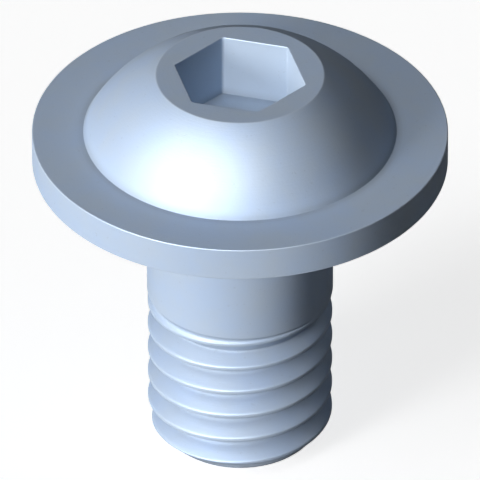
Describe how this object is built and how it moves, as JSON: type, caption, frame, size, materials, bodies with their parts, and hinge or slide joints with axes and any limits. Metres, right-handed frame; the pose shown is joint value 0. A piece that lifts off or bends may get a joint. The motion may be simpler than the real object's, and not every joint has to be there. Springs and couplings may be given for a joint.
{
  "type": "mushroom head screw",
  "caption": "Short machine screw with a low domed head on a wide flat collar, a hexagon socket, and a bevelled flat tip.",
  "frame": {"origin": "centre of the bearing face, the flat underside of the collar", "axes": "+Z along the screw's axis, out through the head; the shank runs along -Z; two opposite corners of the hexagon socket lie on the X axis"},
  "size_m": [0.0178, 0.0178, 0.0184],
  "materials": {
    "zinc_plated_steel": "bright bluish zinc plating, satin"
  },
  "bodies": {
    "root": {"mushroom_head_screw": "zinc_plated_steel"}
  },
  "joints": []
}
